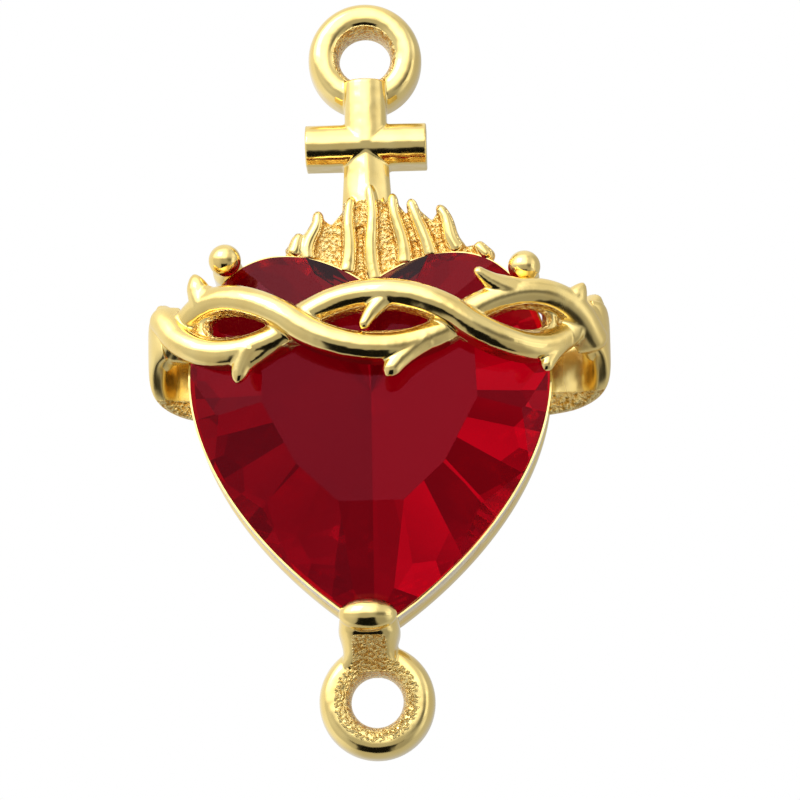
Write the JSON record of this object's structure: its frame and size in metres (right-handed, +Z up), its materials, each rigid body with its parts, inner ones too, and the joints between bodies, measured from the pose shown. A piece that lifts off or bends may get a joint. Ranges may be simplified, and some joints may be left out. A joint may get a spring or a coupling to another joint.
{
  "type": "sacred heart pendant",
  "caption": "Heart pendant link: faceted red stone in a cast open basket, with a twisted thorn vine across it, a cross and flames above, and a round eye at each end.",
  "frame": {"origin": "centre of the top eye's hole", "axes": "+Z runs up the pendant, the front faces -Y, and +X is the viewer's right seen from the front"},
  "size_m": [0.0125, 0.0046, 0.021],
  "materials": {
    "gold casting": "polished gold plate, rough as cast in the recesses",
    "gold vine": "polished gold plate on a separately cast vine",
    "red stone": "faceted transparent red glass"
  },
  "bodies": {
    "root": {"setting": "gold casting", "thorn_vine": "gold vine", "heart_stone": "red stone"}
  },
  "joints": []
}
